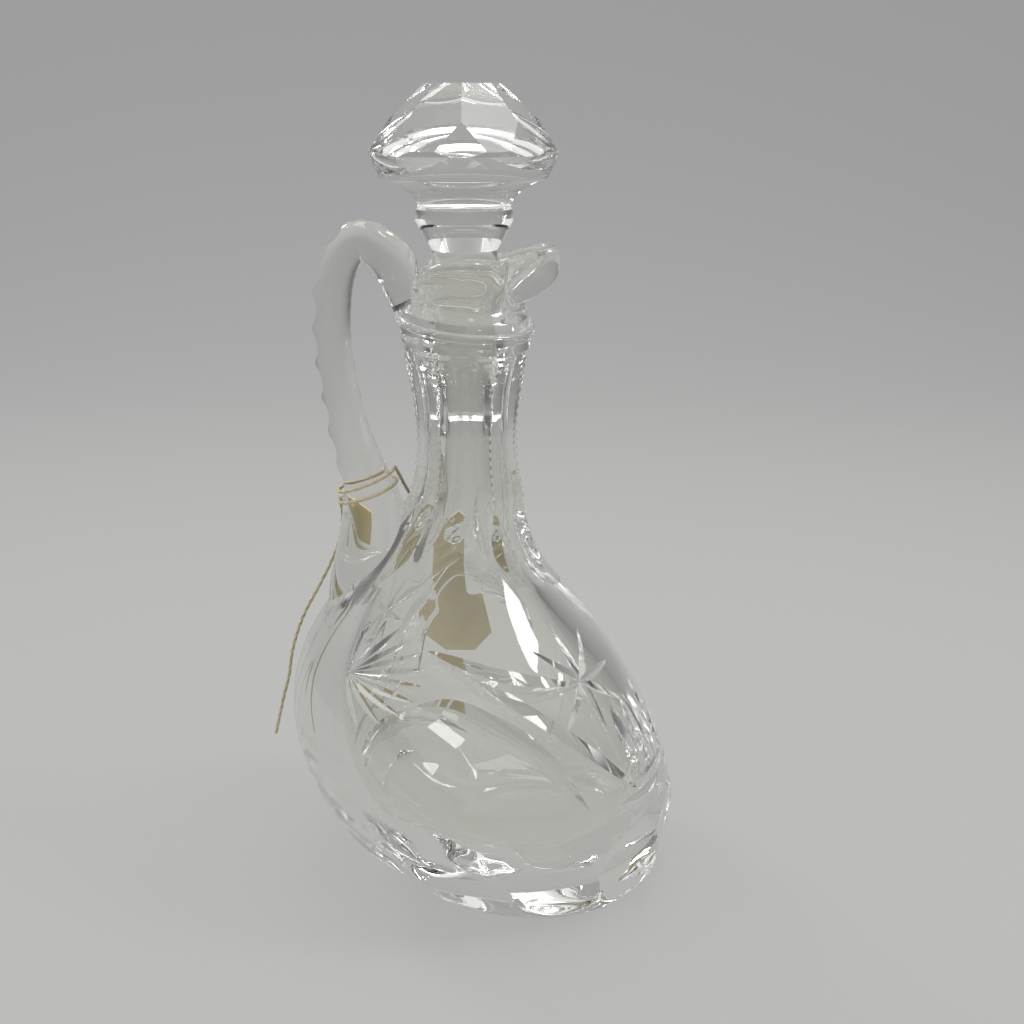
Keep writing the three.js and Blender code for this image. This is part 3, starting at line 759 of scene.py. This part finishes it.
def outer_rows():
    """The outside's round outline, from the foot's middle to just under the rim."""
    under = np.linspace(0, FOOT_R, FOOT_ROWS)
    foot = np.column_stack([under, np.zeros_like(under)])
    heel = bezier(
        (FOOT_R, 0), (FOOT_R + HEEL_OUT, HEEL_UP), (BELLY_R, BELLY_Z - BELLY_DROP), (BELLY_R, BELLY_Z),
        HEEL_ROWS,
    )
    shoulder = bezier(
        (BELLY_R, BELLY_Z), (BELLY_R, BELLY_Z + SHOULDER_RISE), (WAIST_R, WAIST_Z - NECK_SWEEP),
        (WAIST_R, WAIST_Z), SHOULDER_ROWS,
    )
    neck = bezier(
        (WAIST_R, WAIST_Z), (WAIST_R, WAIST_Z + NECK_FLARE), (NECK_TOP_R, NECK_TOP_Z - NECK_FLARE),
        (NECK_TOP_R, NECK_TOP_Z), NECK_ROWS,
    )
    neck = neck[neck[:, 1] < THREAD_Z - THREAD_H / 2 - THREAD_MARGIN]
    side = np.vstack([shoulder, neck])
    fine = np.arange(ARRIS_LOW_Z, ARRIS_HIGH_Z + ARRIS_MARGIN, ARRIS_PITCH / 2)
    side = np.vstack([
        side[side[:, 1] < ARRIS_LOW_Z - ARRIS_MARGIN],
        np.column_stack([np.interp(fine, side[:, 1], side[:, 0]), fine]),
        side[side[:, 1] > fine[-1] + ARRIS_MARGIN],
    ])
    swell = np.linspace(0, math.pi, THREAD_ROWS)
    thread = np.column_stack([
        NECK_TOP_R + THREAD_OUT * np.sin(swell), THREAD_Z - THREAD_H / 2 * np.cos(swell),
    ])
    up = np.linspace(NECK_TOP_Z, RIM_Z - RIM_WALL / 2, LIP_ROWS)[1:]
    lip = np.column_stack([np.full_like(up, NECK_TOP_R), up])
    return np.vstack([foot, heel, side, thread, lip])


def inner_rows():
    """The hollow's round outline, from just under the rim down to the floor's middle."""
    belly_r = BELLY_R - WALL
    bore_top = PLUG_BOTTOM_Z - BORE_END
    mouth = np.linspace(RIM_Z - RIM_WALL / 2, NECK_TOP_Z, MOUTH_ROWS)[:-1]
    seat = np.linspace(NECK_TOP_Z, PLUG_BOTTOM_Z, SEAT_ROWS)
    bore = bezier(
        (BORE_R, bore_top), (BORE_R, bore_top - NECK_SWEEP - WALL),
        (belly_r, BELLY_Z + SHOULDER_RISE - WALL), (belly_r, BELLY_Z), BORE_ROWS,
    )
    floor_r = FOOT_R - WALL
    belly = bezier(
        (belly_r, BELLY_Z), (belly_r, BELLY_Z - HOLLOW_DROP), (floor_r + HEEL_OUT, FLOOR + FLOOR_DISH),
        (floor_r, FLOOR), BELLY_ROWS,
    )
    inward = np.linspace(floor_r, 0, FLOOR_ROWS)[1:]
    return np.vstack([
        np.column_stack([np.full_like(mouth, SEAT_TOP_R), mouth]),
        np.column_stack([plug_radius(seat) + SEAT_GAP, seat]),
        [[BORE_R, bore_top]], bore, belly,
        np.column_stack([inward, np.full_like(inward, FLOOR)]),
    ])


outer_outline = outer_rows()
inner_outline = inner_rows()


def bottle_skin(turn, row):
    """Outside, rounded rim and hollow in one skin."""
    outer_count = len(outer_outline)
    outer = outer_outline[np.clip(row, 0, outer_count - 1)]
    inner = inner_outline[np.clip(row - outer_count - RIM_ROWS, 0, len(inner_outline) - 1)]
    out_spot = outside(turn, outer[:, 0], outer[:, 1])
    in_spot = inside(turn, inner[:, 0], inner[:, 1])
    over = math.pi * np.clip((row - outer_count + 1) / (RIM_ROWS + 1), 0, 1)[:, None]
    middle, half = (out_spot + in_spot) / 2, (out_spot - in_spot) / 2
    crest = np.array([0, 0, 1.0]) * np.linalg.norm(half, axis=1)[:, None]
    rim = middle + half * np.cos(over) + crest * np.sin(over)
    spots = np.where((row < outer_count)[:, None], out_spot, rim)
    return np.where((row >= outer_count + RIM_ROWS)[:, None], in_spot, spots)


bottle_rows = len(outer_outline) + RIM_ROWS + len(inner_outline)
bottle = rolled("bottle_with_handle", AROUND, bottle_rows, bottle_skin)


# Handle, drawn out hot, notched along its back and joined to the bottle

def handle_radius(part, turn):
    """The handle is round, so its radius is the same at every turn."""
    return handle_thickness(part)


def hollow_grown(turn, row):
    """The hollow, a little wider and up over the rim, to clear the handle's end out of the neck."""
    outline = inner_outline[::-1]
    spot = outline[np.clip(row - 1, 0, len(outline) - 1)]
    grown = inside(turn, spot[:, 0] + HANDLE_BITE, spot[:, 1])
    axis = inside(turn, 0 * turn, spot[:, 1])
    end = (row == 0) | (row == len(outline) + 1)
    grown = np.where(end[:, None], axis, grown)
    return grown + np.array([0, 0, CUTTER_OVER]) * (row >= len(outline))[:, None]


handle = tube("handle_gather", handle_line, handle_along, handle_radius, *HANDLE_MESH)
for i in range(NOTCHES):
    part = np.array(NOTCH_FROM + (NOTCH_TO - NOTCH_FROM) * i / (NOTCHES - 1))
    middle = beside_handle(part, math.pi, handle_thickness(part) + NOTCH_R - NOTCH_DEPTH)
    clear_selection()
    bpy.ops.mesh.primitive_cylinder_add(
        vertices=CUTTER_SIDES, radius=NOTCH_R * MM, depth=4 * HANDLE_R * MM, location=middle * MM,
        rotation=(math.pi / 2, 0, 0),
    )
    combine(handle, bpy.context.object, "DIFFERENCE")
combine(handle, rolled("hollow", CUTTER_SIDES, len(inner_outline) + 2, hollow_grown), "DIFFERENCE")
combine(bottle, handle, "UNION")


# Cut pattern of the body

def body_radius(z):
    side = outer_outline[(outer_outline[:, 1] > 0) & (outer_outline[:, 1] <= WAIST_Z)]
    return np.interp(z, side[:, 1], side[:, 0])


def body_point(angle, z):
    """A point of the round body, at an angle in degrees."""
    r, turn = body_radius(z), math.radians(angle)
    return np.array([lean_at(z) + r * math.cos(turn), r * math.sin(turn), z])


def body_normal(angle, z):
    up = body_point(angle, z + 0.5) - body_point(angle, z - 0.5)
    round_about = body_point(angle + 1, z) - body_point(angle - 1, z)
    out = np.cross(round_about, up)
    return out / np.linalg.norm(out)


def bar(name, sections):
    """A closed bar over sections with the same number of corners."""
    sections = np.array(sections)
    rows, sides = sections.shape[:2]

    def place(turn, row):
        corner = np.rint(turn / (2 * math.pi) * sides).astype(int) % sides
        here = np.clip(row - 1, 0, rows - 1)
        spot = sections[here, corner]
        end = ((row == 0) | (row == rows + 1))[:, None]
        return np.where(end, sections[here].mean(axis=1), spot)

    return rolled(name, sides, rows + 2, place)


def mitre(keys, depth, turn, steps=MITRE_ROWS):
    """The bar of glass that a V-edged wheel takes out along a line of (angle, height) points."""
    line = smooth_line([(angle + turn, z, 0) for angle, z in keys], MITRE_POINTS)[0]
    half = MITRE_H * math.tan(math.radians(MITRE_ANGLE))
    sections = []
    for part in np.linspace(0, 1, steps + 1):
        angle, z = at_part(line, part)[:2]
        ahead, behind = at_part(line, part + LOOK_AHEAD), at_part(line, part - LOOK_AHEAD)
        along = body_point(*ahead[:2]) - body_point(*behind[:2])
        out = body_normal(angle, z)
        side = np.cross(out, along)
        side /= np.linalg.norm(side)
        sink = depth * math.sin(math.pi * part) ** MITRE_FULLNESS - MITRE_RUNOUT
        edge = body_point(angle, z) - out * sink
        over = edge + out * MITRE_H
        sections.append([edge, over + side * half, over - side * half])
    return bar("mitre", sections)


# Lines of one panel: two ribbons that leave one point, the long sweep below, and a broad cut
# between two narrow ones, which notch the body's side under a row of upright prisms
main_cuts = [
    ([(-98, 78.5), (-86, 75.5), (-70, 71.5), (-42, 66.5)], RIBBON_DEPTH),
    ([(-88, 77), (-74, 69), (-60, 59.5), (-48, 49.5), (-34, 36)], RIBBON_DEPTH),
    ([(-102, 66.5), (-90, 66.5), (-78, 62), (-66, 54), (-56, 37)], SWEEP_DEPTH),
    ([(-45, 36), (-18, 35), (12, 34)], NARROW_HIGH_DEPTH),
    ([(-75, 15.5), (-58, 21), (-42, 25.5), (-20, 27), (15, 27)], BROAD_DEPTH),
    ([(-45, 17), (-18, 17.5), (12, 17)], NARROW_LOW_DEPTH),
]


def star_ray(ray):
    """One cut runs through the star's middle and makes two of its rays."""
    slope = ray * math.pi * 2 / STAR_RAYS
    rise = STAR_R * math.sin(slope) * STAR_SLANT
    swing = math.degrees(STAR_R * math.cos(slope) / body_radius(STAR_Z))
    low, high = (STAR_ANGLE - swing, STAR_Z - rise), (STAR_ANGLE + swing, STAR_Z + rise)
    return [low, (STAR_ANGLE, STAR_Z), high]


def fan_ray(ray):
    way = math.radians(FAN_FROM + (FAN_TO - FAN_FROM) * ray / (FAN_RAYS - 1))
    angle, z = FAN_AT
    tip = (angle + FAN_SWING * math.cos(way), z + FAN_SLANT * math.cos(way) + FAN_RISE * math.sin(way))
    return [FAN_AT, ((angle + tip[0]) / 2, (z + tip[1]) / 2), tip]


def panel_bars(shift):
    """The bars of glass that the wheel takes out of one panel."""
    bars = [mitre(line, depth, shift) for line, depth in main_cuts]
    prisms = [[(angle, PRISM_LOW_Z), (angle, PRISM_HIGH_Z)] for angle in PRISM_ANGLES]
    bars += [mitre(line, PRISM_DEPTH, shift, PRISM_ROWS) for line in prisms]
    bars += [mitre(star_ray(ray), RAY_DEPTH, shift, RAY_ROWS) for ray in range(STAR_RAYS // 2)]
    bars += [mitre(fan_ray(ray), FAN_DEPTH, shift, FAN_ROWS) for ray in range(FAN_RAYS)]
    return bars


pattern, *more_bars = [cut for panel in range(PANELS) for cut in panel_bars(panel * 360 / PANELS)]
for other in more_bars:
    combine(pattern, other, "UNION")
combine(bottle, pattern, "DIFFERENCE")
finished(bottle, BOTTLE_GLASS, "cruet", ("bottle", "handle"))


# Stopper: turned, then its facets are ground flat

def stopper_rows():
    """The stopper's round outline, from the plug's end up to the crown's middle."""
    collar_top_z = COLLAR_Z + COLLAR_H
    collar_edge = (COLLAR_R - PLUG_EDGE, collar_top_z + PLUG_EDGE)
    plug = [
        (0, PLUG_BOTTOM_Z), (PLUG_R - PLUG_EDGE, PLUG_BOTTOM_Z), (PLUG_R, PLUG_BOTTOM_Z + PLUG_EDGE),
        (PLUG_TOP_R, SEAT_Z), (COLLAR_R, COLLAR_Z), (COLLAR_R, collar_top_z), collar_edge,
    ]
    under = bezier(
        collar_edge, (COLLAR_R, collar_top_z + UNDERCUT_H / 2),
        (GIRDLE_R - UNDERCUT_H / 2, GIRDLE_Z - UNDERCUT_PULL), (GIRDLE_R, GIRDLE_Z), UNDERCUT_ROWS,
    )
    band_r = GIRDLE_R + GIRDLE_FLARE
    return np.vstack([plug, under, [(band_r, BAND_TOP_Z), (band_r, CROWN_TOP_Z), (0, CROWN_TOP_Z)]])


stopper_outline = stopper_rows()


def stopper_skin(turn, row):
    r, z = stopper_outline[row].T
    return np.stack([-LEAN + r * np.cos(turn), r * np.sin(turn), z], -1)


def grind(piece, tilt, turn, r, z):
    """A flat face is ground through a radius and height, and what stands over it goes."""
    lean_in = math.radians(tilt)
    out = (math.sin(lean_in) * math.cos(turn), math.sin(lean_in) * math.sin(turn), math.cos(lean_in))
    spot = ((-LEAN + r * math.cos(turn)) * MM, r * math.sin(turn) * MM, z * MM)
    pick(piece)
    bpy.ops.object.mode_set(mode="EDIT")
    bpy.ops.mesh.select_all(action="SELECT")
    bpy.ops.mesh.bisect(plane_co=spot, plane_no=out, use_fill=True, clear_outer=True)
    bpy.ops.object.mode_set(mode="OBJECT")


stopper = rolled("stopper_ground", AROUND, len(stopper_outline), stopper_skin)
for i in range(FACETS):
    grind(stopper, LOWER_FACET_TILT, i * 2 * math.pi / FACETS, GIRDLE_R + GIRDLE_FLARE, BAND_TOP_Z)
for i in range(FACETS):
    between = (i + 0.5) * 2 * math.pi / FACETS
    grind(stopper, UPPER_FACET_TILT, between, UPPER_FACET_R, BAND_TOP_Z + UPPER_FACET_H)
finished(stopper, STOPPER_GLASS, "stopper", ("stopper",), sharp=12)


# Tag

def make_tag():
    """The card is cut and punched flat, in millimetres, and is then placed as it hangs."""
    top, end, half = TAG_HOLE_DOWN, TAG_HOLE_DOWN - TAG_H, TAG_W / 2
    clear_selection()
    bpy.ops.mesh.primitive_grid_add(x_subdivisions=TAG_MESH[0], y_subdivisions=TAG_MESH[1], size=1)
    card = bpy.context.object
    card.name = card.data.name = "tag_card"
    bpy.ops.object.mode_set(mode="EDIT")
    bpy.ops.transform.resize(value=(TAG_W, TAG_H, 1))
    bpy.ops.transform.translate(value=(0, (top + end) / 2, 0))
    for x in (-1, 1):
        for y, edge in ((1, top), (-1, end)):
            slope = (x * TAG_CLIP_H, y * TAG_CLIP_W, 0)
            bpy.ops.mesh.select_all(action="SELECT")
            bpy.ops.mesh.bisect(
                plane_co=(x * (half - TAG_CLIP_W), edge, 0), plane_no=slope, clear_outer=True,
            )
    bpy.ops.object.mode_set(mode="OBJECT")
    bpy.ops.object.modifier_add(type="SOLIDIFY")
    card.modifiers[-1].thickness = TAG_T
    card.modifiers[-1].offset = 0
    bpy.ops.object.modifier_apply(modifier=card.modifiers[-1].name)
    bpy.ops.mesh.primitive_cylinder_add(vertices=HOLE_SIDES, radius=TAG_HOLE_R, depth=8 * TAG_T)
    combine(card, bpy.context.object, "DIFFERENCE")
    spots = np.array([v.co for v in card.data.vertices])
    spots = tag_hole + spots @ np.array([tag_across, -tag_down, tag_face])
    card.data.vertices.foreach_set("co", (spots * MM).ravel())
    return card


tag = make_tag()
finished(tag, MANILA, "cruet", ("tag",))
finished(knot, COTTON, "cruet", ())
finished(string, COTTON, "cruet", ("tag_string",), sharp=80)


# Floor, backdrop and lamps

def paper(name, near, far, painted_side_shade, shown):
    """Matt paper with painted light on it: palest round the object as a painted pool of light, greyer
    far off as painted falloff, and darker still to both sides as painted shade. The camera and
    mirrored rays see a share of its own colour, and rays through the glass all of it."""
    material, tree = new_material(name)
    place = add_node(tree, "ShaderNodeTexCoord")
    reach = add_node(tree, "ShaderNodeVectorMath", {0: place.outputs["Object"]}, operation="LENGTH")
    falloff_part = add_node(tree, "ShaderNodeMapRange", {
        "Value": reach.outputs["Value"], "From Min": FALLOFF_FADE[0], "From Max": FALLOFF_FADE[1],
    }, interpolation_type="SMOOTHSTEP")
    axes = add_node(tree, "ShaderNodeSeparateXYZ", {"Vector": place.outputs["Object"]})
    off = add_node(tree, "ShaderNodeMath", {0: axes.outputs["X"]}, operation="ABSOLUTE")
    side = add_node(tree, "ShaderNodeMapRange", {
        "Value": off.outputs["Value"], "From Min": SIDE_SHADE_FADE[0], "From Max": SIDE_SHADE_FADE[1],
    }, interpolation_type="SMOOTHSTEP")
    # Painted pool of light and painted falloff: the paper fades from the pale near tone to the greyer
    # far tone
    falloff_paint = add_node(tree, "ShaderNodeMix", {
        "Factor": falloff_part.outputs["Result"], "A": linear(near), "B": linear(far),
    }, data_type="RGBA")
    # Painted shade: the paper darkens to the side tone at both sides
    paint = add_node(tree, "ShaderNodeMix", {
        "Factor": side.outputs["Result"], "A": falloff_paint.outputs["Result"], "B": linear(painted_side_shade),
    }, data_type="RGBA")
    lit = add_node(tree, "ShaderNodeBsdfDiffuse", {"Color": paint.outputs["Result"]})
    own = add_node(tree, "ShaderNodeEmission", {"Color": paint.outputs["Result"], "Strength": 1.0})
    path = add_node(tree, "ShaderNodeLightPath").outputs
    seen = add_node(tree, "ShaderNodeMath", {
        0: path["Is Camera Ray"], 1: path["Is Glossy Ray"],
    }, operation="MAXIMUM")
    part = add_node(tree, "ShaderNodeMath", {
        0: seen.outputs["Value"], 1: shown,
    }, operation="MULTIPLY")
    share = add_node(tree, "ShaderNodeMath", {
        0: part.outputs["Value"], 1: path["Is Transmission Ray"],
    }, operation="MAXIMUM")
    mix = add_node(tree, "ShaderNodeMixShader", {
        0: share.outputs["Value"], 1: lit.outputs["BSDF"], 2: own.outputs["Emission"],
    })
    add_node(tree, "ShaderNodeOutputMaterial", {"Surface": mix.outputs["Shader"]})
    return material


clear_selection()
bpy.ops.mesh.primitive_grid_add(
    x_subdivisions=SWEEP_MESH[0], y_subdivisions=SWEEP_MESH[1], size=2 * FLOOR_HALF,
)
backdrop = bpy.context.object
backdrop.name = "paper_sweep"
for vertex in backdrop.data.vertices:
    past = vertex.co.y - (BACK_AT - BACK_ROUND)
    if past > 0:
        bend = min(past / BACK_ROUND, math.pi / 2)
        straight = max(0, past - BACK_ROUND * math.pi / 2)
        vertex.co.y = BACK_AT - BACK_ROUND + BACK_ROUND * math.sin(bend)
        vertex.co.z = BACK_ROUND * (1 - math.cos(bend)) + straight
bpy.ops.object.shade_smooth()
backdrop.data.materials.append(paper("paper_grey_painted_light", NEAR_LIT_TONE, FAR_FALLOFF_TONE, SIDE_SHADE_TONE, PAPER_SHOWN))


def softbox(name, place, aim, size, watts):
    clear_selection()
    bpy.ops.object.light_add(type="AREA", location=place)
    lamp = bpy.context.object
    lamp.name = name
    lamp.data.shape = "RECTANGLE"
    lamp.data.size, lamp.data.size_y = size
    lamp.data.energy = watts
    way = [a - p for a, p in zip(aim, place)]
    level = math.hypot(way[0], way[1])
    lamp.rotation_euler = (math.atan2(level, -way[2]), 0, math.atan2(-way[0], way[1]))


for name, place, size, watts in LAMPS:
    softbox(name, place, LAMPS_AIM, size, watts)

# The room round the paper: as grey as it at the horizon, darker to both sides, pale overhead
world = bpy.data.worlds.new("studio")
bpy.context.scene.world = world
world.use_nodes = True
tree = world.node_tree
tree.nodes.clear()
way = add_node(tree, "ShaderNodeTexCoord")
axes = add_node(tree, "ShaderNodeSeparateXYZ", {"Vector": way.outputs["Generated"]})
off = add_node(tree, "ShaderNodeMath", {0: axes.outputs["X"]}, operation="ABSOLUTE")
side = add_node(tree, "ShaderNodeMapRange", {
    "Value": off.outputs["Value"], "From Min": ROOM_SIDE_FADE[0], "From Max": ROOM_SIDE_FADE[1],
}, interpolation_type="SMOOTHSTEP")
up = add_node(tree, "ShaderNodeMapRange", {
    "Value": axes.outputs["Z"], "From Min": ROOM_RISE_FADE[0], "From Max": ROOM_RISE_FADE[1],
}, interpolation_type="SMOOTHSTEP")
horizon = add_node(tree, "ShaderNodeMix", {
    "Factor": side.outputs["Result"], "A": linear(FAR_FALLOFF_TONE), "B": linear(SIDE_SHADE_TONE),
}, data_type="RGBA")
tone = add_node(tree, "ShaderNodeMix", {
    "Factor": up.outputs["Result"], "A": horizon.outputs["Result"], "B": linear(OVERHEAD_TONE),
}, data_type="RGBA")
room = add_node(tree, "ShaderNodeBackground", {"Color": tone.outputs["Result"], "Strength": 1.0})
add_node(tree, "ShaderNodeOutputWorld", {"Surface": room.outputs["Background"]})

# Light runs through many faces of cut glass before it comes out again
bpy.context.scene.cycles.max_bounces = LIGHT_BOUNCES
bpy.context.scene.cycles.transmission_bounces = LIGHT_BOUNCES
bpy.context.scene.cycles.glossy_bounces = LIGHT_BOUNCES
bpy.context.scene.view_settings.view_transform = "Standard"
